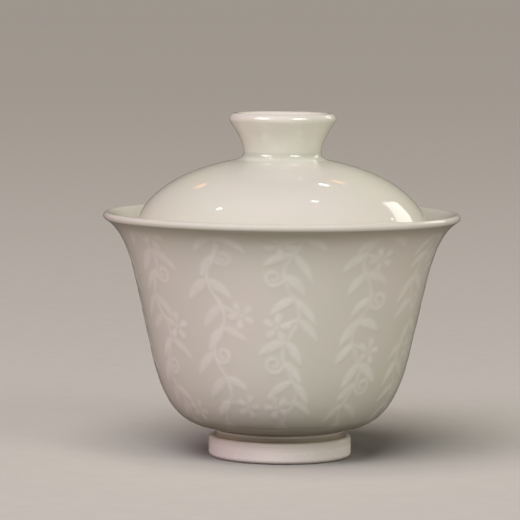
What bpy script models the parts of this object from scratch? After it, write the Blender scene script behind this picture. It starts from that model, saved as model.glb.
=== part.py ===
"""Gaiwan: a small covered tea bowl in pale celadon porcelain.

It comes apart into two fired pieces. The bowl is one body with its foot ring, and the lid
is one body with its hollow ring knob. Both are turned shapes on one upright axis. The lid
has no rebate: its edge drops inside the flared rim and rests on the bowl's inner wall.

Frame: metres, +Z up, origin at the centre of the foot ring's resting plane.
"""

import math

import bmesh
import bpy

MM = 0.001

# Driving dimensions, all radii and heights measured in the frame above.
SEGMENTS = 60                    # facets around each turned piece

RIM_RADIUS = 47.5 * MM           # outermost point of the bowl's lip
RIM_HEIGHT = 65.1 * MM           # top of the lip
LIP_RADIUS = 1.0 * MM            # the lip is a full round, as thick as the wall
RIM_SLOPE = math.radians(32.3)   # how far above level the flare runs out into the lip

WALL_BASE = (17.7 * MM, 7.9 * MM)       # underside of the belly, at the foot's neck
WALL_BELLY = (34.4 * MM, 27.9 * MM)     # where the belly turns into the straight wall
WALL_BASE_PULL = (28.1 * MM, 8.2 * MM)
WALL_BELLY_PULL_DOWN = (31.8 * MM, 16.7 * MM)
WALL_BELLY_PULL_UP = (39.3 * MM, 49.0 * MM)
WALL_RIM_PULL = (40.2 * MM, 59.0 * MM)
WALL_THICKNESS_RIM = 2.0 * MM
WALL_THICKNESS_BASE = 2.6 * MM
FLOOR_HEIGHT = 9.0 * MM          # inside the bowl, on the axis

FOOT_RADIUS = 19.0 * MM
FOOT_HEIGHT = 5.65 * MM          # top edge of the foot ring's outer wall
FOOT_BOTTOM_ROUND = 1.2 * MM
FOOT_TOP_ROUND = 1.0 * MM
FOOT_INNER_RADIUS = 15.2 * MM
FOOT_INNER_ROUND = 0.6 * MM
NECK_RADIUS = 17.1 * MM          # groove between the foot ring and the belly
NECK_LOW = 5.9 * MM
NECK_HIGH = 7.6 * MM
BEAD_HEIGHT = 7.0 * MM           # thin raised line around the groove
BEAD_SIZE = 0.4 * MM
RECESS_HEIGHT = 5.6 * MM         # ceiling of the hollow inside the foot ring
RECESS_ROUND = 1.0 * MM

LID_RADIUS = 39.5 * MM           # outermost point of the lid's edge
LID_EDGE_HEIGHT = 57.8 * MM      # height of that point when the lid rests in the bowl
LID_RISE = 22.3 * MM             # outer dome above that height, were it whole
LID_FULLNESS = 2.06              # power of the dome's curve, where 2 is an ellipse
LID_THICKNESS = 1.9 * MM         # at the edge, which is a full round
LID_CROWN_THICKNESS = 2.5 * MM   # under the knob, measured from the whole dome

KNOB_FOOT_RADIUS = 12.8 * MM     # where the fillet leaves the dome
KNOB_NECK = (10.35 * MM, 81.0 * MM)
KNOB_FILLET_PULL = 1.1 * MM
KNOB_NECK_PULL = 3.4 * MM        # straight start of the flare above the neck
KNOB_FLARE_PULL = 1.4 * MM
KNOB_RADIUS = 14.25 * MM
KNOB_HEIGHT = 91.5 * MM
KNOB_LIP_RADIUS = 1.5 * MM
KNOB_LIP_SLOPE = math.radians(64.5)     # steepness of the flare where it meets the lip
KNOB_CUP_NECK = (8.0 * MM, 82.4 * MM)
KNOB_CUP_FLOOR = 80.3 * MM
KNOB_CUP_ROUND = 1.6 * MM

POLE_MERGE = 0.000001            # joins the copies of a point that lies on the axis
SHARP_ANGLE = math.radians(40)

CELADON = (0.61, 0.60, 0.54, 1.0)
CELADON_LID = (0.70, 0.69, 0.62, 1.0)
GLAZE_ROUGHNESS = 0.12


def arc(centre, radius, start, end, steps):
    """Points of a circular arc in the (radius, height) plane, angles in degrees."""
    points = []
    for step in range(steps + 1):
        angle = math.radians(start + (end - start) * step / steps)
        points.append((centre[0] + radius * math.cos(angle), centre[1] + radius * math.sin(angle)))
    return points


def dome(across, rise, start, end, steps):
    """Points of a dome over the lid's edge, a slightly full ellipse, angles in degrees."""
    power = 2.0 / LID_FULLNESS
    points = []
    for step in range(steps + 1):
        angle = math.radians(start + (end - start) * step / steps)
        points.append((across * abs(math.cos(angle)) ** power,
                       LID_EDGE_HEIGHT + rise * abs(math.sin(angle)) ** power))
    return points


def dome_angle(radius):
    """Angle at which the outer dome has a radius, in degrees."""
    return math.degrees(math.acos((radius / LID_RADIUS) ** (LID_FULLNESS / 2.0)))


def bezier(start, start_pull, end_pull, end, steps):
    """Points of a cubic Bezier curve from start to end, pulled towards its two handles."""
    points = []
    for step in range(steps + 1):
        along = step / steps
        back = 1.0 - along
        weights = (back ** 3, 3 * back * back * along, 3 * back * along * along, along ** 3)
        corners = (start, start_pull, end_pull, end)
        points.append(tuple(sum(w * c[k] for w, c in zip(weights, corners)) for k in (0, 1)))
    return points


def offset(points, start_distance, end_distance):
    """The same curve moved to its left by a distance that changes evenly along it."""
    moved = []
    last = len(points) - 1
    for index, (radius, height) in enumerate(points):
        before = points[max(index - 1, 0)]
        after = points[min(index + 1, last)]
        run = after[0] - before[0]
        rise = after[1] - before[1]
        length = math.hypot(run, rise)
        distance = start_distance + (end_distance - start_distance) * index / last
        moved.append((radius - rise / length * distance, height + run / length * distance))
    return moved


def bowl_wall():
    """Outer wall from the foot's neck up to the lip."""
    lip_centre = (RIM_RADIUS - LIP_RADIUS, RIM_HEIGHT - LIP_RADIUS)
    wall_top = arc(lip_centre, LIP_RADIUS, math.degrees(RIM_SLOPE) - 90, 0, 1)[0]
    belly = bezier(WALL_BASE, WALL_BASE_PULL, WALL_BELLY_PULL_DOWN, WALL_BELLY, 7)
    flare = bezier(WALL_BELLY, WALL_BELLY_PULL_UP, WALL_RIM_PULL, wall_top, 7)
    return belly + flare[1:]


def foot_ring():
    """Hollow under the bowl, flat resting face, foot wall and groove, from the axis outwards."""
    inner_top = (FOOT_INNER_RADIUS - RECESS_ROUND, RECESS_HEIGHT - RECESS_ROUND)
    inner_bottom = (FOOT_INNER_RADIUS + FOOT_INNER_ROUND, FOOT_INNER_ROUND)
    outer_bottom = (FOOT_RADIUS - FOOT_BOTTOM_ROUND, FOOT_BOTTOM_ROUND)
    outer_top = (FOOT_RADIUS - FOOT_TOP_ROUND, FOOT_HEIGHT - FOOT_TOP_ROUND)
    points = [(0.0, RECESS_HEIGHT)]
    points += arc(inner_top, RECESS_ROUND, 90, 0, 2)
    points += arc(inner_bottom, FOOT_INNER_ROUND, 180, 270, 2)
    points += arc(outer_bottom, FOOT_BOTTOM_ROUND, 270, 360, 3)
    points += arc(outer_top, FOOT_TOP_ROUND, 0, 80, 2)
    points += [(NECK_RADIUS, NECK_LOW)]
    points += arc((NECK_RADIUS, BEAD_HEIGHT), BEAD_SIZE, -60, 60, 2)
    points += [(NECK_RADIUS, NECK_HIGH)]
    return points


def bowl_profile():
    lip_centre = (RIM_RADIUS - LIP_RADIUS, RIM_HEIGHT - LIP_RADIUS)
    rim_angle = math.degrees(RIM_SLOPE)
    wall = bowl_wall()
    inside = offset(wall, WALL_THICKNESS_BASE, WALL_THICKNESS_RIM)
    inside.reverse()
    points = foot_ring()
    points += wall
    points += arc(lip_centre, LIP_RADIUS, rim_angle - 90, 0, 2)[1:]
    points += arc(lip_centre, LIP_RADIUS, 0, 90, 3)[1:]
    points += arc(lip_centre, LIP_RADIUS, 90, rim_angle + 90, 1)[1:]
    points += inside[1:]
    points += [(0.0, FLOOR_HEIGHT)]
    return points


def knob_outside():
    """Fillet above the dome, waisted neck and flare, up to the knob's lip."""
    lip_centre = (KNOB_RADIUS - KNOB_LIP_RADIUS, KNOB_HEIGHT - KNOB_LIP_RADIUS)
    flare_top = arc(lip_centre, KNOB_LIP_RADIUS, math.degrees(KNOB_LIP_SLOPE) - 90, 0, 1)[0]
    foot_angle = dome_angle(KNOB_FOOT_RADIUS)
    before, foot = dome(LID_RADIUS, LID_RISE, foot_angle - 0.5, foot_angle, 1)
    slide = (foot[0] - before[0], foot[1] - before[1])
    scale = KNOB_FILLET_PULL / math.hypot(*slide)
    fillet = bezier(
        foot,
        (foot[0] + slide[0] * scale, foot[1] + slide[1] * scale),
        (KNOB_NECK[0], KNOB_NECK[1] - KNOB_FILLET_PULL),
        KNOB_NECK,
        4,
    )
    flare = bezier(
        KNOB_NECK,
        (KNOB_NECK[0], KNOB_NECK[1] + KNOB_NECK_PULL),
        (flare_top[0] - KNOB_FLARE_PULL * math.cos(KNOB_LIP_SLOPE),
         flare_top[1] - KNOB_FLARE_PULL * math.sin(KNOB_LIP_SLOPE)),
        flare_top,
        5,
    )
    return fillet + flare[1:]


def lid_profile():
    edge_round = LID_THICKNESS / 2
    edge_centre = (LID_RADIUS - edge_round, LID_EDGE_HEIGHT)
    lip_centre = (KNOB_RADIUS - KNOB_LIP_RADIUS, KNOB_HEIGHT - KNOB_LIP_RADIUS)
    lip_angle = math.degrees(KNOB_LIP_SLOPE)
    cup_corner = (KNOB_CUP_NECK[0] - KNOB_CUP_ROUND, KNOB_CUP_FLOOR + KNOB_CUP_ROUND)
    inner_radius = LID_RADIUS - LID_THICKNESS
    inner_rise = LID_RISE - LID_CROWN_THICKNESS
    points = dome(inner_radius, inner_rise, 90, 0, 9)
    points += arc(edge_centre, edge_round, 180, 360, 5)[1:]
    points += dome(LID_RADIUS, LID_RISE, 0, dome_angle(KNOB_FOOT_RADIUS), 9)[1:]
    points += knob_outside()[1:]
    points += arc(lip_centre, KNOB_LIP_RADIUS, lip_angle - 90, 90, 3)[1:]
    points += arc(lip_centre, KNOB_LIP_RADIUS, 90, lip_angle + 90, 2)[1:]
    points += [KNOB_CUP_NECK]
    points += arc(cup_corner, KNOB_CUP_ROUND, 0, -90, 3)
    points += [(0.0, KNOB_CUP_FLOOR)]
    return points


def glaze(name, colour):
    material = bpy.data.materials.new(name)
    material.use_nodes = True
    shader = material.node_tree.nodes["Principled BSDF"]
    shader.inputs["Base Color"].default_value = colour
    shader.inputs["Roughness"].default_value = GLAZE_ROUGHNESS
    shader.inputs["Metallic"].default_value = 0.0
    return material


def turned_piece(name, profile, material):
    """Spin a (radius, height) outline about the upright axis into one closed body."""
    shape = bmesh.new()
    corners = [shape.verts.new((radius, 0.0, height)) for radius, height in profile]
    edges = [shape.edges.new(pair) for pair in zip(corners, corners[1:])]
    bmesh.ops.spin(
        shape,
        geom=corners + edges,
        axis=(0.0, 0.0, 1.0),
        cent=(0.0, 0.0, 0.0),
        angle=math.tau,
        steps=SEGMENTS,
        use_merge=True,
    )
    bmesh.ops.remove_doubles(shape, verts=shape.verts, dist=POLE_MERGE)
    bmesh.ops.recalc_face_normals(shape, faces=shape.faces)
    mesh = bpy.data.meshes.new(name)
    shape.to_mesh(mesh)
    shape.free()
    mesh.shade_smooth()
    mesh.set_sharp_from_angle(angle=SHARP_ANGLE)
    mesh.materials.append(material)
    piece = bpy.data.objects.new(name, mesh)
    bpy.context.scene.collection.objects.link(piece)
    return piece


def clear_scene():
    for old in list(bpy.data.objects):
        bpy.data.objects.remove(old, do_unlink=True)


def build():
    clear_scene()
    turned_piece("bowl", bowl_profile(), glaze("bowl_glaze", CELADON))
    turned_piece("lid", lid_profile(), glaze("lid_glaze", CELADON_LID))


build()
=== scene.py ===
"""Looks of the gaiwan, a covered tea bowl in pale celadon porcelain.

Both pieces are turned again here at a fine step from the same outlines as the CAD model. The
bowl's wall carries a relief of leafy vines brushed on in white slip under the glaze.
Everything is in metres, in the CAD model's frame: +Z up, origin under the foot.
"""

import math

import bpy
import numpy as np
from mathutils import Matrix, Quaternion, Vector


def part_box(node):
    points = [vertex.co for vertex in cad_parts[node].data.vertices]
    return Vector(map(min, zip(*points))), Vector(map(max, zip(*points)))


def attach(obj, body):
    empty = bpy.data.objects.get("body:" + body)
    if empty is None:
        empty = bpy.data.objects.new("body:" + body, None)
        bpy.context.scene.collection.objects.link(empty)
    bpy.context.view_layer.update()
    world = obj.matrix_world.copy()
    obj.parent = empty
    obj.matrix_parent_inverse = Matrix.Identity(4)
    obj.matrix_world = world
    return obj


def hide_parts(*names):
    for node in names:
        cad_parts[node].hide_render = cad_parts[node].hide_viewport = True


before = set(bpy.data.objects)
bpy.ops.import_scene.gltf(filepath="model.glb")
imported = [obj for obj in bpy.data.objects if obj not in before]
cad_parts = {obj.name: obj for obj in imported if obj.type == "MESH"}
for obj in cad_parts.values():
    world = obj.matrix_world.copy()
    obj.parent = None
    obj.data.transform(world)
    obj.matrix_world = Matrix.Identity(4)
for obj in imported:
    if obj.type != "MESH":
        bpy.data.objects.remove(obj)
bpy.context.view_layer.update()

MM = 0.001
BOWL_LOW, BOWL_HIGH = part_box("bowl")
LID_LOW, LID_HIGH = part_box("lid")

# Outline of the bowl. The rim's size and place come from the CAD model's box.
RIM_RADIUS = BOWL_HIGH.x
RIM_HEIGHT = BOWL_HIGH.z
LIP_RADIUS = 1.0 * MM
RIM_SLOPE = math.radians(32.3)
WALL_BASE = (17.7 * MM, 7.9 * MM)
WALL_BELLY = (34.4 * MM, 27.9 * MM)
WALL_BASE_PULL = (28.1 * MM, 8.2 * MM)
WALL_BELLY_PULL_DOWN = (31.8 * MM, 16.7 * MM)
WALL_BELLY_PULL_UP = (39.3 * MM, 49.0 * MM)
WALL_RIM_PULL = (40.2 * MM, 59.0 * MM)
WALL_THICKNESS_RIM = 2.0 * MM
WALL_THICKNESS_BASE = 2.6 * MM
FLOOR_HEIGHT = 9.0 * MM
FOOT_RADIUS = 19.0 * MM
FOOT_HEIGHT = 5.65 * MM
FOOT_BOTTOM_ROUND = 1.2 * MM
FOOT_TOP_ROUND = 1.0 * MM
FOOT_INNER_RADIUS = 15.2 * MM
FOOT_INNER_ROUND = 0.6 * MM
NECK_RADIUS = 17.1 * MM
NECK_LOW = 5.9 * MM
NECK_HIGH = 7.6 * MM
BEAD_HEIGHT = 7.0 * MM
BEAD_SIZE = 0.4 * MM
RECESS_HEIGHT = 5.6 * MM
RECESS_ROUND = 1.0 * MM

# Outline of the lid.
LID_RADIUS = LID_HIGH.x
LID_EDGE_HEIGHT = 57.8 * MM
LID_RISE = 22.3 * MM
LID_FULLNESS = 2.06
LID_THICKNESS = 1.9 * MM
LID_CROWN_THICKNESS = 2.5 * MM
KNOB_FOOT_RADIUS = 12.8 * MM
KNOB_NECK = (10.35 * MM, 81.0 * MM)
KNOB_FILLET_PULL = 1.1 * MM
KNOB_NECK_PULL = 3.4 * MM
KNOB_FLARE_PULL = 1.4 * MM
KNOB_RADIUS = 14.25 * MM
KNOB_HEIGHT = LID_HIGH.z
KNOB_LIP_RADIUS = 1.5 * MM
KNOB_LIP_SLOPE = math.radians(64.5)
KNOB_CUP_NECK = (8.0 * MM, 82.4 * MM)
KNOB_CUP_FLOOR = 80.3 * MM
KNOB_CUP_ROUND = 1.6 * MM

# Fineness of the meshes.
WALL_COLUMNS = 560               # around the relief; the plain parts have a half or a quarter
LID_COLUMNS = 280
WALL_STEP = 0.45 * MM            # between rows of the relief
PLAIN_STEP = 0.8 * MM

# Relief on the wall. Lengths on the unrolled wall are plain numbers of millimetres.
RELIEF_HEIGHT = 0.09 * MM
RELIEF_TOP = 2.4                 # first row of the relief, below the lip
RELIEF_RADIUS = 36.7             # where a column of the vine has its true width
VINES = 12
VINE_TURN = math.radians(-86)    # where the first vine hangs
VINE_LENGTH = 61.0
BRUSH_EDGE = 0.5                 # soft border of a brush stroke
RELIEF_FADE = 2.0                # how far the relief takes to reach its full height, from its top
VINE_SEED = 20                   # picks one drawing of the vines

# Thickness of the bowl's glaze, by height, which also paints light and shade. Under the belly
# it is thicker, partly glaze that gathers there and partly painted shade; under the lip it is
# painted shade; on the foot and the bead it is thinner, partly thin glaze and partly painted light.
BELLY_POOL_AND_SHADE_TOP = 11.8            # millimetres, like the next ones
BELLY_POOL_AND_SHADE_FADE = 3.0
# painted shade under the flared lip, drawn as pooled glaze
LIP_SHADE_LOW = 58.5
LIP_SHADE_FADE = 5.0
# thinner glaze and painted light on the foot wall, paler downwards from its shaded top
FOOT_THIN_AND_LIGHT_ABOVE = 0.4            # over the foot's top edge
FOOT_THIN_AND_LIGHT_FADE = 2.6
FOOT_WALL_MIN_RADIUS = 17.0
LIP_SHADE = 0.55
FOOT_THIN_AND_LIGHT = 0.9
# painted light line along the bead, drawn as thinner glaze
BEAD_THIN_AND_LIGHT = 1.6
FOOT_DULL = 0.5
BEND_REACH = 0.8 * MM            # over which the outline's bends are evened
THIN_ON_EDGES = 0.35
POOL_IN_HOLLOWS = 0.85


# ---------------------------------------------------------------- outlines

def arc(centre, radius, start, end, steps):
    """Points of a circular arc in the (radius, height) plane, angles in degrees."""
    angles = np.radians(np.linspace(start, end, steps + 1))
    return [(centre[0] + radius * math.cos(a), centre[1] + radius * math.sin(a)) for a in angles]


def dome(across, rise, start, end, steps):
    """Points of a dome over the lid's edge, a slightly full ellipse, angles in degrees."""
    angles = np.radians(np.linspace(start, end, steps + 1))
    power = 2.0 / LID_FULLNESS
    radii = across * np.abs(np.cos(angles)) ** power
    heights = LID_EDGE_HEIGHT + rise * np.abs(np.sin(angles)) ** power
    return list(zip(radii, heights))


def bezier(start, start_pull, end_pull, end, steps):
    """Points of a cubic Bezier curve from start to end, pulled towards its two handles."""
    along = np.linspace(0.0, 1.0, steps + 1)[:, None]
    back = 1.0 - along
    corners = np.array((start, start_pull, end_pull, end))
    points = (back ** 3 * corners[0] + 3 * back ** 2 * along * corners[1]
              + 3 * back * along ** 2 * corners[2] + along ** 3 * corners[3])
    return [tuple(point) for point in points]


def normals(points):
    """Unit normals on the left of a polyline."""
    run = np.gradient(np.array(points), axis=0)
    run /= np.linalg.norm(run, axis=1)[:, None]
    return np.column_stack((-run[:, 1], run[:, 0]))


def offset(points, start_distance, end_distance):
    """The same curve moved to its left by a distance that changes evenly along it."""
    distance = np.linspace(start_distance, end_distance, len(points))[:, None]
    return [tuple(point) for point in np.array(points) + normals(points) * distance]


def lengths(points):
    """Distance along a polyline of each of its points."""
    steps = np.linalg.norm(np.diff(np.array(points), axis=0), axis=1)
    return np.concatenate(([0.0], np.cumsum(steps)))


def respace(points, step):
    """The same curve with its points about one step apart."""
    along = lengths(points)
    count = max(int(round(along[-1] / step)), 1) + 1
    wanted = np.linspace(0.0, along[-1], count)
    points = np.array(points)
    return [(np.interp(w, along, points[:, 0]), np.interp(w, along, points[:, 1])) for w in wanted]


def lip_centre():
    """Centre of the lip's round in the (radius, height) plane."""
    return (RIM_RADIUS - LIP_RADIUS, RIM_HEIGHT - LIP_RADIUS)


def bowl_wall():
    """Outer wall from the foot's neck up to the lip."""
    wall_top = arc(lip_centre(), LIP_RADIUS, math.degrees(RIM_SLOPE) - 90, 0, 1)[0]
    belly = bezier(WALL_BASE, WALL_BASE_PULL, WALL_BELLY_PULL_DOWN, WALL_BELLY, 300)
    flare = bezier(WALL_BELLY, WALL_BELLY_PULL_UP, WALL_RIM_PULL, wall_top, 300)
    return belly + flare[1:]


def foot_ring():
    """Hollow under the bowl, resting face, foot wall and groove, from the axis outwards."""
    inner_top = (FOOT_INNER_RADIUS - RECESS_ROUND, RECESS_HEIGHT - RECESS_ROUND)
    inner_bottom = (FOOT_INNER_RADIUS + FOOT_INNER_ROUND, FOOT_INNER_ROUND)
    outer_bottom = (FOOT_RADIUS - FOOT_BOTTOM_ROUND, FOOT_BOTTOM_ROUND)
    outer_top = (FOOT_RADIUS - FOOT_TOP_ROUND, FOOT_HEIGHT - FOOT_TOP_ROUND)
    points = respace([(0.0, RECESS_HEIGHT), (inner_top[0], RECESS_HEIGHT)], 2.4 * MM)
    points += arc(inner_top, RECESS_ROUND, 90, 0, 6)[1:]
    points += arc(inner_bottom, FOOT_INNER_ROUND, 180, 270, 6)
    points += arc(outer_bottom, FOOT_BOTTOM_ROUND, 270, 360, 12)
    points += respace([(FOOT_RADIUS, outer_bottom[1]), (FOOT_RADIUS, outer_top[1])], 0.7 * MM)[1:]
    points += arc(outer_top, FOOT_TOP_ROUND, 0, 80, 8)[1:]
    ledge = bezier(points[-1], (NECK_RADIUS + 0.4 * MM, FOOT_HEIGHT + 0.02 * MM),
                   (NECK_RADIUS + 0.02 * MM, FOOT_HEIGHT + 0.02 * MM), (NECK_RADIUS, NECK_LOW), 6)
    bead = arc((NECK_RADIUS, BEAD_HEIGHT), BEAD_SIZE, -75, 75, 12)
    points += ledge[1:] + bead
    points += bezier((NECK_RADIUS, NECK_HIGH), (NECK_RADIUS + 0.02 * MM, NECK_HIGH + 0.3 * MM),
                     (WALL_BASE[0] - 0.3 * MM, WALL_BASE[1] - 0.02 * MM), WALL_BASE, 5)[:-1]
    return points


def dome_end():
    """Angle at which the outer dome meets the knob, in degrees."""
    return math.degrees(math.acos((KNOB_FOOT_RADIUS / LID_RADIUS) ** (LID_FULLNESS / 2.0)))


def knob_outside():
    """Fillet above the dome, waisted neck and flare, up to the knob's lip."""
    centre = (KNOB_RADIUS - KNOB_LIP_RADIUS, KNOB_HEIGHT - KNOB_LIP_RADIUS)
    flare_top = arc(centre, KNOB_LIP_RADIUS, math.degrees(KNOB_LIP_SLOPE) - 90, 0, 1)[0]
    before, foot = np.array(dome(LID_RADIUS, LID_RISE, 0, dome_end(), 300)[-2:])
    pull = foot + (foot - before) / np.linalg.norm(foot - before) * KNOB_FILLET_PULL
    neck_pull = (KNOB_NECK[0], KNOB_NECK[1] - KNOB_FILLET_PULL)
    fillet = bezier(foot, pull, neck_pull, KNOB_NECK, 12)
    flare_pull = (flare_top[0] - KNOB_FLARE_PULL * math.cos(KNOB_LIP_SLOPE),
                  flare_top[1] - KNOB_FLARE_PULL * math.sin(KNOB_LIP_SLOPE))
    flare = bezier(KNOB_NECK, (KNOB_NECK[0], KNOB_NECK[1] + KNOB_NECK_PULL),
                   flare_pull, flare_top, 16)
    return fillet + flare[1:]


def lid_outline():
    """Underside, edge, dome, knob and the cup in the knob, from the axis round to the axis."""
    edge_round = LID_THICKNESS / 2
    edge_centre = (LID_RADIUS - edge_round, LID_EDGE_HEIGHT)
    knob_lip = (KNOB_RADIUS - KNOB_LIP_RADIUS, KNOB_HEIGHT - KNOB_LIP_RADIUS)
    lip_angle = math.degrees(KNOB_LIP_SLOPE)
    cup_corner = (KNOB_CUP_NECK[0] - KNOB_CUP_ROUND, KNOB_CUP_FLOOR + KNOB_CUP_ROUND)
    inner_radius = LID_RADIUS - LID_THICKNESS
    inner_rise = LID_RISE - LID_CROWN_THICKNESS
    points = dome(inner_radius, inner_rise, 90, 0, 36)
    points += arc(edge_centre, edge_round, 180, 360, 16)[1:]
    points += dome(LID_RADIUS, LID_RISE, 0, dome_end(), 48)[1:]
    points += knob_outside()[1:]
    points += arc(knob_lip, KNOB_LIP_RADIUS, lip_angle - 90, 90, 14)[1:]
    points += arc(knob_lip, KNOB_LIP_RADIUS, 90, lip_angle + 90, 8)[1:]
    points += respace([points[-1], KNOB_CUP_NECK], 1.0 * MM)[1:]
    points += arc(cup_corner, KNOB_CUP_ROUND, 0, -90, 8)
    points += respace([(cup_corner[0], KNOB_CUP_FLOOR), (0.0, KNOB_CUP_FLOOR)], 1.6 * MM)[1:]
    return points


# ---------------------------------------------------------------- turned meshes

def turned_faces(columns):
    """Faces between rings of vertices. A ring has 1 vertex, or as many as its neighbour, or twice
    or half as many."""
    starts = np.concatenate(([0], np.cumsum(columns)))
    faces = []
    for ring in range(len(columns) - 1):
        here, there = columns[ring], columns[ring + 1]
        a, b = int(starts[ring]), int(starts[ring + 1])
        for k in range(min(here, there) if min(here, there) > 1 else max(here, there)):
            if here == there:
                n = (k + 1) % here
                faces.append((a + k, a + n, b + n, b + k))
            elif here == 1:
                faces.append((a, b + (k + 1) % there, b + k))
            elif there == 1:
                faces.append((a + k, a + (k + 1) % here, b))
            elif there == 2 * here:
                n = (k + 1) % here
                far = (2 * k + 2) % there
                faces.append((a + k, b + 2 * k + 1, b + 2 * k))
                faces.append((a + k, a + n, b + 2 * k + 1))
                faces.append((a + n, b + far, b + 2 * k + 1))
            else:
                n = (k + 1) % there
                far = (2 * k + 2) % here
                faces.append((a + 2 * k, a + 2 * k + 1, b + k))
                faces.append((a + 2 * k + 1, b + n, b + k))
                faces.append((a + 2 * k + 1, a + far, b + n))
    return faces


def turned_vertices(outline, columns, relief=None, relief_start=0):
    """Vertices of all rings. relief is pushed out along the outline's outward normal, one row of
    heights per ring from relief_start."""
    outward = -normals(outline)
    rings = []
    for index, ((radius, height), count) in enumerate(zip(outline, columns)):
        angles = np.arange(count) * math.tau / count
        radii = np.full(count, radius)
        heights = np.full(count, height)
        row = index - relief_start
        if relief is not None and 0 <= row < len(relief):
            radii = radii + relief[row] * outward[index, 0]
            heights = heights + relief[row] * outward[index, 1]
        rings.append(np.column_stack((radii * np.cos(angles), radii * np.sin(angles), heights)))
    return np.concatenate(rings)


def bends(outline, reach):
    """How sharply the outline bends at each point, evened over a reach: 1 on an edge that turns
    out with a radius of 1 mm or less, -1 in a hollow as sharp."""
    points = np.array(outline)
    along = lengths(outline)
    run = np.diff(points, axis=0)
    heading = np.unwrap(np.arctan2(run[:, 1], run[:, 0]))
    turn = np.concatenate(([0.0], np.diff(heading), [0.0]))
    bend = np.empty(len(points))
    for index, place in enumerate(along):
        weight = np.maximum(1 - np.abs(along - place) / reach, 0.0)
        bend[index] = (turn * weight).sum() / reach
    return np.clip(bend * MM, -1.0, 1.0)


def pooling_and_painted_light(outline, painted_light):
    """Where the glaze gathers (towards 1) and where it runs thin (towards -1), which it does on
    edges that look up or sideways, not down. The last argument adds painted shade (towards 1)
    and painted light (towards -1), drawn as pooled and thin glaze."""
    bend = bends(outline, BEND_REACH)
    upward = smooth((0.1 - normals(outline)[:, 1]) / 0.6)
    thin = np.clip((bend - 0.2) / 0.8, 0.0, 1.0) * upward * THIN_ON_EDGES
    gathered = np.clip((-bend - 0.1) / 0.5, 0.0, 1.0) * POOL_IN_HOLLOWS
    return np.clip(gathered - thin + painted_light, -1.0, 1.0)


def per_vertex(values, columns):
    """One value per ring, repeated for each of its vertices."""
    return np.repeat(np.asarray(values, float), columns)


def make_piece(name, vertices, faces, facts, material):
    """A smooth mesh object with one named number per vertex for each of its facts."""
    mesh = bpy.data.meshes.new(name)
    mesh.from_pydata(vertices.tolist(), [], faces)
    mesh.update()
    for fact, values in facts.items():
        attribute = mesh.attributes.new(fact, "FLOAT", "POINT")
        attribute.data.foreach_set("value", np.asarray(values, np.float32))
    mesh.shade_smooth()
    mesh.materials.append(material)
    piece = bpy.data.objects.new(name, mesh)
    bpy.context.scene.collection.objects.link(piece)
    return piece


# ---------------------------------------------------------------- the vine relief

def smooth(value):
    """0 to 1 with a soft start and a soft end."""
    value = np.clip(value, 0.0, 1.0)
    return value * value * (3 - 2 * value)


def leaf(base, heading, length, width, droop):
    """A pointed leaf from its base, as one press of the brush. heading is measured from straight
    down the wall, positive to the right, and droop turns the tip back down."""
    start = np.array(base)
    middle = start + 0.55 * length * np.array((math.sin(heading), math.cos(heading)))
    bent = heading * (1 - droop)
    tip = middle + 0.55 * length * np.array((math.sin(bent), math.cos(bent)))
    along = np.linspace(0, 1, 40)[:, None]
    points = (1 - along) ** 2 * start + 2 * (1 - along) * along * middle + along ** 2 * tip
    widths = width * np.sin(math.pi * along[:, 0] ** 0.8) ** 0.7
    return points, widths


def tendril(base, side, size):
    """A curl that winds in on itself beside the stem."""
    along = np.linspace(0, 1, 70)
    angle = math.pi / 2 + side * (math.pi * 0.5 - along * math.tau * 1.3)
    radius = size * (1 - 0.75 * along)
    centre = np.array(base) + np.array((side * size, size * 0.2))
    points = centre + np.column_stack((np.cos(angle) * radius, np.sin(angle) * radius))
    return points, 1.0 - 0.35 * along


def blossom(centre, size, turn):
    """Five round petals about a small eye."""
    strokes = [(np.array([centre]), np.array([size * 0.3]))]
    for petal in range(5):
        angle = turn + petal * math.tau / 5
        away = np.array((math.cos(angle), math.sin(angle)))
        along = np.linspace(0.46, 0.82, 10)
        points = np.array(centre) + along[:, None] * size * away
        strokes.append((points, size * (0.36 + 0.5 * (along - 0.46))))
    return strokes


def vine(rng):
    """Strokes of one hanging vine, as (points, widths), x across and y down, in millimetres."""
    sway = rng.uniform(1.8, 2.6)
    wave = rng.uniform(19, 25)
    start = rng.uniform(0, math.tau)

    def stem_x(y):
        return sway * math.sin(math.tau * y / wave + start)

    depths = np.linspace(0.5, VINE_LENGTH - 5, 170)
    stem = np.column_stack(([stem_x(y) for y in depths], depths))
    strokes = [(stem, 0.85 + 0.3 * np.sin(depths * 0.9 + start))]
    side = 1 if rng.random() < 0.5 else -1
    y = 2.0 + rng.uniform(0, 2)
    count = rng.integers(0, 4)
    while y < VINE_LENGTH - 8:
        base = (stem_x(y), y)
        if count % 4 == 1:
            centre = (base[0] + side * rng.uniform(4.8, 5.8), y + rng.uniform(1.0, 2.6))
            strokes += blossom(centre, rng.uniform(3.0, 3.6), rng.uniform(0, math.tau))
            stalk = np.linspace(base, (centre[0] - side * 1.2, centre[1] - 0.5), 16)
            strokes.append((stalk, np.full(16, 0.85)))
            strokes.append(leaf(base, -side * math.radians(rng.uniform(50, 75)),
                                rng.uniform(6.0, 7.6), rng.uniform(2.0, 2.4), 0.4))
        elif count % 4 == 3:
            strokes.append(tendril(base, side, rng.uniform(2.1, 2.7)))
            strokes.append(leaf(base, -side * math.radians(rng.uniform(45, 75)),
                                rng.uniform(6.4, 8.2), rng.uniform(2.0, 2.5), 0.5))
        else:
            for way, angle in ((side, rng.uniform(40, 62)), (-side, rng.uniform(62, 88))):
                strokes.append(leaf(base, way * math.radians(angle),
                                    rng.uniform(6.4, 8.8), rng.uniform(2.0, 2.6), 0.45))
        y += rng.uniform(5.2, 6.8)
        side = -side
        count += 1
    for way in (-1, 0, 1):
        strokes.append(leaf((stem_x(VINE_LENGTH - 5), VINE_LENGTH - 5), way * math.radians(38),
                            5.5, 1.9, 0.3))
    return strokes


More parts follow.
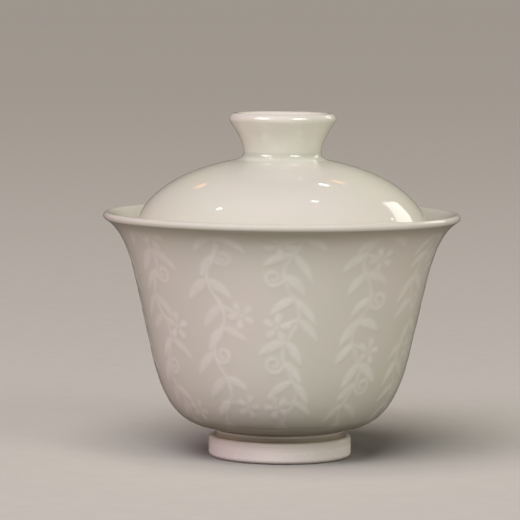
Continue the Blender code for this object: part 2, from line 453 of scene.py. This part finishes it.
def press(field, step_across, step_down, centre, points, widths, load):
    """Lays one stroke on the field, keeping the higher value where strokes cross. load is how
    much slip the brush carries, 0 to 1."""
    rows, columns = field.shape
    for (x, y), width in zip(points, widths):
        reach = width / 2 + BRUSH_EDGE
        row = np.arange(max(int((y - reach) / step_down), 0),
                        min(int((y + reach) / step_down) + 2, rows))
        column = np.arange(math.floor((centre + x - reach) / step_across),
                           math.ceil((centre + x + reach) / step_across) + 1)
        if not len(row):
            continue
        distance = np.hypot(column[None, :] * step_across - centre - x,
                            row[:, None] * step_down - y)
        value = load * smooth((reach - distance) / (2 * BRUSH_EDGE))
        place = np.ix_(row, column % columns)
        field[place] = np.maximum(field[place], value)


def relief_field(rows):
    """Slip on the unrolled wall, 0 bare to 1 full, one row per ring from the rim down."""
    field = np.zeros((rows, WALL_COLUMNS))
    step_across = math.tau * RELIEF_RADIUS / WALL_COLUMNS
    step_down = WALL_STEP / MM
    rng = np.random.default_rng(VINE_SEED)
    for index in range(VINES):
        turn = VINE_TURN + index * math.tau / VINES
        centre = (turn % math.tau) * RELIEF_RADIUS
        for points, widths in vine(rng):
            load = rng.uniform(0.65, 1.0)
            press(field, step_across, step_down, centre, points, widths, load)
    return field


# ---------------------------------------------------------------- materials

def linear(red, green, blue):
    """A colour given in the usual 0 to 255 screen values, as the shader's linear numbers."""
    values = []
    for value in (red, green, blue):
        value = value / 255
        values.append(value / 12.92 if value <= 0.04045 else ((value + 0.055) / 1.055) ** 2.4)
    return (*values, 1.0)


class Nodes:
    """Short hand for adding linked nodes to one material."""

    def __init__(self, material):
        self.tree = material.node_tree
        self.shader = self.tree.nodes["Principled BSDF"]

    def add(self, kind, **settings):
        node = self.tree.nodes.new("ShaderNode" + kind)
        for name, value in settings.items():
            setattr(node, name, value)
        return node

    def link(self, source, target):
        self.tree.links.new(source, target)

    def fact(self, name):
        return self.add("Attribute", attribute_name=name).outputs["Fac"]

    def place(self):
        return self.add("TexCoord").outputs["Object"]

    def scaled(self, value, low, high, to_low=0.0, to_high=1.0):
        node = self.add("MapRange")
        for index, number in enumerate((low, high, to_low, to_high)):
            node.inputs[index + 1].default_value = number
        self.link(value, node.inputs[0])
        return node.outputs[0]

    def noise(self, place, scale, detail):
        node = self.add("TexNoise")
        self.link(place, node.inputs["Vector"])
        node.inputs["Scale"].default_value = scale
        node.inputs["Detail"].default_value = detail
        return node.outputs["Fac"]

    def sum(self, first, second, how="ADD"):
        node = self.add("Math", operation=how)
        for socket, value in zip(node.inputs, (first, second)):
            if isinstance(value, float):
                socket.default_value = value
            else:
                self.link(value, socket)
        return node.outputs[0]

    def mix(self, factor, first, second):
        """Colour mix; first and second are colours or sockets."""
        node = self.add("Mix", data_type="RGBA")
        self.link(factor, node.inputs[0])
        for index, value in ((6, first), (7, second)):
            if isinstance(value, tuple):
                node.inputs[index].default_value = value
            else:
                self.link(value, node.inputs[index])
        return node.outputs[2]


SPECK_COLOUR = linear(150, 138, 112)
BARE_CLAY_COLOUR = linear(228, 220, 206)


def glaze(name, body, green, thin, pooled, slip=None):
    """Clear celadon glaze over white porcelain: paler where it runs thin over an edge, darker
    where it gathers in a hollow, with faint drifts of tint, fine specks and a soft ripple. The
    same thin and pooled colours also paint light and shade where the mesh's fact asks for it. A
    fact that the mesh doesn't have reads as 0."""
    material = bpy.data.materials.new(name)
    material.use_nodes = True
    nodes = Nodes(material)
    place = nodes.place()
    pool_and_painted_light = nodes.fact("pool_and_painted_light")

    drift = nodes.scaled(nodes.noise(place, 28.0, 2.0), 0.35, 0.65)
    colour = nodes.mix(drift, body, green)
    if slip:
        slip_fact = nodes.fact("slip")
        brushed = nodes.scaled(nodes.noise(place, 420.0, 3.0), 0.25, 0.75, 0.6, 1.0)
        colour = nodes.mix(nodes.sum(slip_fact, brushed, "MULTIPLY"), colour, slip)
    # below 0: thin glaze and painted light; above 0: pooled glaze and painted shade
    colour = nodes.mix(nodes.scaled(pool_and_painted_light, 0.0, -1.0), colour, thin)
    colour = nodes.mix(nodes.scaled(pool_and_painted_light, 0.0, 1.0), colour, pooled)

    cells = nodes.add("TexVoronoi")
    nodes.link(place, cells.inputs["Vector"])
    cells.inputs["Scale"].default_value = 170.0
    rare = nodes.sum(cells.outputs["Color"], 0.93, "GREATER_THAN")
    dot = nodes.scaled(cells.outputs["Distance"], 0.035, 0.06, 1.0, 0.0)
    speck = nodes.sum(nodes.sum(dot, rare, "MULTIPLY"), 0.35, "MULTIPLY")
    colour = nodes.mix(speck, colour, SPECK_COLOUR)

    bare = nodes.fact("bare")
    colour = nodes.mix(bare, colour, BARE_CLAY_COLOUR)
    nodes.link(colour, nodes.shader.inputs["Base Color"])

    sheen = nodes.scaled(nodes.noise(place, 60.0, 3.0), 0.3, 0.7, 0.05, 0.09)
    rough = nodes.sum(sheen, nodes.sum(bare, 0.5, "MULTIPLY"))
    rough = nodes.sum(rough, nodes.sum(nodes.fact("dull"), 0.4, "MULTIPLY"))
    nodes.link(rough, nodes.shader.inputs["Roughness"])

    ripple = nodes.noise(place, 190.0, 2.0)
    grain = nodes.sum(nodes.noise(place, 2600.0, 2.0), nodes.sum(bare, 0.4, "MULTIPLY"), "MULTIPLY")
    bump = nodes.add("Bump")
    bump.inputs["Strength"].default_value = 0.08
    bump.inputs["Distance"].default_value = 0.05 * MM
    nodes.link(nodes.sum(ripple, grain), bump.inputs["Height"])
    nodes.link(bump.outputs["Normal"], nodes.shader.inputs["Normal"])

    nodes.shader.inputs["IOR"].default_value = 1.52
    nodes.shader.inputs["Subsurface Weight"].default_value = 0.15
    nodes.shader.inputs["Subsurface Radius"].default_value = (1.0, 0.9, 0.7)
    nodes.shader.inputs["Subsurface Scale"].default_value = 1.2 * MM
    return material


# ---------------------------------------------------------------- the two pieces

def bare_rings(outline, low, high):
    """1 on rings whose height is at most low, fading to 0 at high."""
    heights = np.array(outline)[:, 1]
    return 1 - smooth((heights - low) / (high - low))


def bowl_glaze_and_painted_light(outline, foot_count, outside):
    """How much thicker (positive) or thinner than plain the glaze is on each ring of the bowl,
    which paints shade under the belly and the lip and light on the foot and the bead, and how
    dull it is. outside is 1 on the rings of the outer wall and the foot."""
    radii, heights = np.array(outline).T / MM
    above_neck = np.arange(len(outline)) >= foot_count
    # darker under the belly: partly glaze gathered above the foot, partly painted shade
    belly_pool_and_shade = smooth((BELLY_POOL_AND_SHADE_TOP - heights) / BELLY_POOL_AND_SHADE_FADE) * above_neck * outside
    # painted shade under the flared lip, drawn as pooled glaze
    painted_lip_shade = smooth((heights - LIP_SHADE_LOW) / LIP_SHADE_FADE) * outside
    # thinner glaze and painted light on the foot wall, paler downwards from its shaded top
    foot_thin_and_light = smooth((FOOT_HEIGHT / MM + FOOT_THIN_AND_LIGHT_ABOVE - heights) / FOOT_THIN_AND_LIGHT_FADE)
    foot_thin_and_light = foot_thin_and_light * (radii > FOOT_WALL_MIN_RADIUS) * outside
    # painted light line along the bead, drawn as thinner glaze
    bead = np.clip((radii - NECK_RADIUS / MM) / 0.3, 0.0, 1.0) * outside
    bead *= smooth((BEAD_SIZE / MM + 0.1 - np.abs(heights - BEAD_HEIGHT / MM)) / 0.2)
    painted_light = belly_pool_and_shade + LIP_SHADE * painted_lip_shade - FOOT_THIN_AND_LIGHT * foot_thin_and_light - BEAD_THIN_AND_LIGHT * bead
    return painted_light, np.maximum(belly_pool_and_shade, FOOT_DULL * foot_thin_and_light)


def make_bowl():
    """Foot, outer wall with the relief, lip, inner wall and floor, with the wall's slip and the
    glaze's thickness as facts; the thickness also carries painted shade and painted light."""
    wall = bowl_wall()
    rows = respace(wall[::-1], WALL_STEP)[::-1]
    inside = respace(offset(wall, WALL_THICKNESS_BASE, WALL_THICKNESS_RIM)[::-1], PLAIN_STEP)
    rim_angle = math.degrees(RIM_SLOPE)
    lip = arc(lip_centre(), LIP_RADIUS, rim_angle - 90, 0, 6)
    lip += arc(lip_centre(), LIP_RADIUS, 0, 90, 9)[1:]
    lip += arc(lip_centre(), LIP_RADIUS, 90, rim_angle + 90, 4)[1:]
    foot = foot_ring()
    floor = bezier(inside[-1], (inside[-1][0] * 0.7, inside[-1][1] - 0.35 * MM),
                   (inside[-1][0] * 0.4, FLOOR_HEIGHT), (0.0, FLOOR_HEIGHT), 10)
    outline = foot + rows + lip[1:] + inside[1:] + floor[1:]
    quarter, half = WALL_COLUMNS // 4, WALL_COLUMNS // 2
    columns = [1] + [quarter] * (len(foot) - 6) + [half] * 5
    columns += [WALL_COLUMNS] * len(rows)
    columns += [half] * (len(lip) + len(inside) - 2)
    columns += [quarter] * (len(floor) - 2) + [1]

    field = relief_field(len(rows))
    along = np.arange(len(rows)) * WALL_STEP / MM
    fade = smooth((along - RELIEF_TOP) / RELIEF_FADE)[:, None]
    field = (field * fade)[::-1]
    vertices = turned_vertices(outline, columns, field * RELIEF_HEIGHT, len(foot))
    slip = np.zeros(len(vertices))
    first = sum(columns[:len(foot)])
    slip[first:first + field.size] = field.ravel()

    bare = bare_rings(outline, 0.05 * MM, 0.35 * MM)
    outside = np.arange(len(outline)) < len(foot) + len(rows)
    painted_light, dull = bowl_glaze_and_painted_light(outline, len(foot), outside)
    facts = {
        "slip": slip,
        "pool_and_painted_light": per_vertex(pooling_and_painted_light(outline, painted_light), columns),
        "bare": per_vertex(bare, columns),
        "dull": per_vertex(dull, columns),
    }
    # pooled is also the colour of the painted shade under the belly and the lip, thin that of the
    # painted light on the foot and the bead
    material = glaze("bowl_glaze", body=linear(207, 204, 196), green=linear(201, 203, 191),
                     thin=linear(230, 226, 221), pooled=linear(172, 164, 145),
                     slip=linear(219, 219, 212))
    return make_piece("bowl_turned", vertices, turned_faces(columns), facts, material)


def make_lid():
    """Plain lid with its knob, unglazed on the edge that rests in the bowl."""
    outline = lid_outline()
    columns = [1] + [LID_COLUMNS] * (len(outline) - 2) + [1]
    vertices = turned_vertices(outline, columns)
    bare = bare_rings(outline, LID_LOW.z + 0.1 * MM, LID_LOW.z + 0.5 * MM)
    facts = {
        "pool_and_painted_light": per_vertex(pooling_and_painted_light(outline, 0.0), columns),
        "bare": per_vertex(bare, columns),
    }
    material = glaze("lid_glaze", body=linear(217, 214, 206), green=linear(212, 214, 202),
                     thin=linear(227, 222, 220), pooled=linear(186, 192, 178))
    return make_piece("lid_turned", vertices, turned_faces(columns), facts, material)


# ---------------------------------------------------------------- studio

CENTRE = Vector((0.0, 0.0, 45.0 * MM))
CAMERA_DISTANCE = 0.8506
CAMERA_ELEVATION = math.radians(5.19)
CAMERA_ROLL = math.radians(0.52)
CAMERA_AIM = Vector((-5.7 * MM, 0.0, 52.3 * MM))
CAMERA_LENS = 220.9              # millimetres
CAMERA_SENSOR = 36.0
BACKDROP = (0.342, 0.305, 0.268, 1.0)
ROOM = (0.035, 0.028, 0.022, 1.0)
MIRRORED_ROOM = (0.11, 0.10, 0.09, 1.0)
FLOOR_RADIUS = 12.0
DARK_FLOOR_RADIUS = 30 * MM      # the floor throws back least light inside this radius
PLAIN_FLOOR_RADIUS = 75 * MM     # and its plain amount outside this one

# Lamps: azimuth from the front to the right and elevation up, in degrees, or a direction from the
# object; then sizes in metres, powers in watts and colours.
LAMP_DISTANCE = 1.9
SPOT_DISTANCE = 2.0
SOFT_LAMPS = (
    ("key", -8, 42, 1.0, 15.3, (0.93, 0.98, 1.0)),
    ("front_left", -46, 33, 0.75, 11.0, (1.0, 0.77, 0.91)),
    ("front_right", 40, 33, 0.75, 9.2, (1.0, 0.96, 0.87)),
)
GLEAMS = (("gleam_left", -50, 36.0), ("gleam_right", 41, 30.0))
GLEAM_ELEVATION = 33
GLEAM_SIZE = (1.1, 0.8)
GLEAM_COLOUR = (1.0, 0.95, 0.94)
SIDE_LAMPS = (
    ("right", 52, 15, 0.95, 7.9, (1.0, 0.85, 0.77)),
    ("left", -72, 15, 0.95, 9.6, (1.0, 0.76, 0.67)),
    ("back_right", 135, 22, 0.95, 9.5, (1.0, 0.88, 0.68)),
    ("back", 180, 34, 0.95, 19.0, (1.0, 0.84, 0.62)),
)
WINDOW_TOP = 2.1 * Vector((0.53, 0.64, 0.56)).normalized()
WINDOW_BOTTOM = 1.35 * Vector((0.80, 0.50, 0.33)).normalized()
WINDOW_WIDTH = 0.50
WINDOW_POWER = 5.3
WINDOW_COLOUR = (1.0, 0.97, 0.91)
COOL_WHITE = (0.93, 0.98, 1.0)
ORANGE = (1.0, 0.35, 0.06)
SMALL_LAMPS = (
    ("spot_1", (-0.506, 0.025, 0.862), 0.13, 0.12, 0.45, COOL_WHITE),
    ("spot_2", (0.199, 0.553, 0.809), 0.12, 0.07, 0.24, COOL_WHITE),
    ("spot_3", (0.243, 0.100, 0.965), 0.10, 0.12, 0.32, COOL_WHITE),
    ("spot_4", (0.787, 0.350, 0.508), 0.09, 0.08, 0.11, COOL_WHITE),
    ("bulb_1", (-0.338, 0.698, 0.631), 0.16, 0.12, 0.15, ORANGE),
    ("bulb_2", (0.232, 0.669, 0.706), 0.16, 0.10, 0.13, ORANGE),
    ("bulb_3", (0.418, 0.669, 0.614), 0.22, 0.12, 0.05, ORANGE),
)
DAYLIGHT_STRENGTH = 3.4
DAYLIGHT_COLOUR = (1.0, 0.92, 0.84)
DAYLIGHT_SPREAD = math.radians(50)
DAYLIGHT_AZIMUTH = -20
DAYLIGHT_ELEVATION = 65


def make_camera():
    camera = bpy.data.objects.new("camera", bpy.data.cameras.new("camera"))
    back = Vector((0.0, -math.cos(CAMERA_ELEVATION), math.sin(CAMERA_ELEVATION)))
    camera.location = CENTRE + back * CAMERA_DISTANCE
    camera.data.lens = CAMERA_LENS
    camera.data.sensor_width = CAMERA_SENSOR
    camera.data.clip_start = 0.01
    camera.rotation_mode = "QUATERNION"
    aim = (CAMERA_AIM - camera.location).to_track_quat("-Z", "Y")
    camera.rotation_quaternion = aim @ Quaternion((0.0, 0.0, 1.0), CAMERA_ROLL)
    bpy.context.scene.collection.objects.link(camera)
    bpy.context.scene.camera = camera


def make_floor():
    """A wide pale disc that the bowl stands on. The glaze doesn't mirror it. It throws back less
    light than it shows, least of all close to the bowl."""
    bpy.ops.mesh.primitive_circle_add(vertices=96, radius=FLOOR_RADIUS, fill_type="NGON")
    floor = bpy.context.object
    floor.name = "floor"
    material = bpy.data.materials.new("floor_paper")
    material.use_nodes = True
    nodes = Nodes(material)
    tone = nodes.noise(nodes.place(), 140.0, 2.0)
    pale = nodes.mix(tone, linear(156, 154, 151), linear(161, 159, 156))
    spread = nodes.add("VectorMath", operation="LENGTH")
    nodes.link(nodes.place(), spread.inputs[0])
    away = nodes.scaled(spread.outputs["Value"], DARK_FLOOR_RADIUS, PLAIN_FLOOR_RADIUS)
    bounced = nodes.mix(away, linear(86, 80, 75), linear(142, 139, 136))
    seen = nodes.add("LightPath").outputs["Is Camera Ray"]
    colour = nodes.mix(seen, bounced, pale)
    nodes.link(colour, nodes.shader.inputs["Base Color"])
    nodes.shader.inputs["Roughness"].default_value = 0.9
    nodes.shader.inputs["Specular IOR Level"].default_value = 0.1
    floor.data.materials.append(material)
    floor.visible_glossy = False
    return floor


def only_on(light, name, objects):
    """Lets a light fall on these objects only. Everything still casts its shadows."""
    collection = bpy.data.collections.get(name) or bpy.data.collections.new(name)
    for item in objects:
        if item.name not in collection.objects:
            collection.objects.link(item)
    light.light_linking.receiver_collection = collection


def lamp(name, place, width, height, power, colour, mirrored, along=None):
    """A flat light that faces the object from a place measured from its centre. mirrored lights
    show as highlights in the glaze, the others only brighten it softly. along is the direction
    of the lamp's height, if it leans."""
    light = bpy.data.lights.new(name, "AREA")
    light.shape = "RECTANGLE" if along else "ELLIPSE"
    light.size = width
    light.size_y = height
    light.energy = power
    light.color = colour
    light.cycles.use_multiple_importance_sampling = mirrored    # keeps the soft lamps even
    body = bpy.data.objects.new(name, light)
    away = Vector(place)
    body.location = CENTRE + away
    body.rotation_mode = "QUATERNION"
    if along:
        up = Vector(along).normalized()
        out = (away - away.dot(up) * up).normalized()
        turned = Matrix((up.cross(out), up, out)).transposed()
        body.rotation_quaternion = turned.to_quaternion()
    else:
        body.rotation_quaternion = away.to_track_quat("Z", "Y")
    body.visible_camera = False
    body.visible_glossy = mirrored
    bpy.context.scene.collection.objects.link(body)
    return body


def towards(azimuth, elevation, distance):
    """Place seen from the object: azimuth from the front to the right and elevation up, in
    degrees, and distance."""
    a, e = math.radians(azimuth), math.radians(elevation)
    return distance * Vector((math.sin(a) * math.cos(e), -math.cos(a) * math.cos(e), math.sin(e)))


def make_lights(bowl, lid, floor):
    """Soft lamps on everything, gleams on the lid, softer side light, a window and small lamps
    on the pieces, and daylight on the floor."""
    pieces = [bowl, lid]
    for name, azimuth, elevation, size, power, colour in SOFT_LAMPS:
        place = towards(azimuth, elevation, LAMP_DISTANCE)
        lamp(name, place, size, size, power, colour, False)
    for name, azimuth, power in GLEAMS:
        place = towards(azimuth, GLEAM_ELEVATION, LAMP_DISTANCE)
        gleam = lamp(name, place, *GLEAM_SIZE, power, GLEAM_COLOUR, True)
        gleam.visible_diffuse = False
        only_on(gleam, "lid_piece", [lid])
    for name, azimuth, elevation, size, power, colour in SIDE_LAMPS:
        place = towards(azimuth, elevation, LAMP_DISTANCE)
        soft = lamp(name, place, size, size, power, colour, False)
        only_on(soft, "pieces", pieces)

    middle = (WINDOW_TOP + WINDOW_BOTTOM) / 2
    leaning = WINDOW_TOP - WINDOW_BOTTOM
    window = lamp("window", middle, WINDOW_WIDTH, leaning.length, WINDOW_POWER, WINDOW_COLOUR,
                  True, along=leaning)
    only_on(window, "pieces", pieces)

    for name, direction, width, height, power, colour in SMALL_LAMPS:
        place = SPOT_DISTANCE * Vector(direction).normalized()
        small = lamp(name, place, width, height, power, colour, True)
        only_on(small, "pieces", pieces)

    daylight = bpy.data.lights.new("daylight", "SUN")
    daylight.energy = DAYLIGHT_STRENGTH
    daylight.color = DAYLIGHT_COLOUR
    daylight.angle = DAYLIGHT_SPREAD
    sun = bpy.data.objects.new("daylight", daylight)
    sun.rotation_mode = "QUATERNION"
    facing = towards(DAYLIGHT_AZIMUTH, DAYLIGHT_ELEVATION, 1.0)
    sun.rotation_quaternion = facing.to_track_quat("Z", "Y")
    bpy.context.scene.collection.objects.link(sun)
    only_on(sun, "stage", [floor])


def make_world():
    """The pale backdrop as the camera sees it, a darker one mirrored in the glaze, and a dim
    warm room that lights the pieces."""
    world = bpy.data.worlds.new("studio")
    world.use_nodes = True
    tree = world.node_tree
    rays = tree.nodes.new("ShaderNodeLightPath").outputs
    mirrored = tree.nodes.new("ShaderNodeMix")
    seen = tree.nodes.new("ShaderNodeMix")
    mirrored.data_type = seen.data_type = "RGBA"
    mirrored.inputs[6].default_value = ROOM
    mirrored.inputs[7].default_value = MIRRORED_ROOM
    seen.inputs[7].default_value = BACKDROP
    tree.links.new(rays["Is Glossy Ray"], mirrored.inputs[0])
    tree.links.new(mirrored.outputs[2], seen.inputs[6])
    tree.links.new(rays["Is Camera Ray"], seen.inputs[0])
    tree.links.new(seen.outputs[2], tree.nodes["Background"].inputs["Color"])
    bpy.context.scene.world = world


bowl = make_bowl()
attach(bowl, "bowl")
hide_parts("bowl")

lid = make_lid()
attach(lid, "lid")
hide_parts("lid")

make_camera()
make_lights(bowl, lid, make_floor())
make_world()
bpy.context.scene.view_settings.view_transform = "Standard"
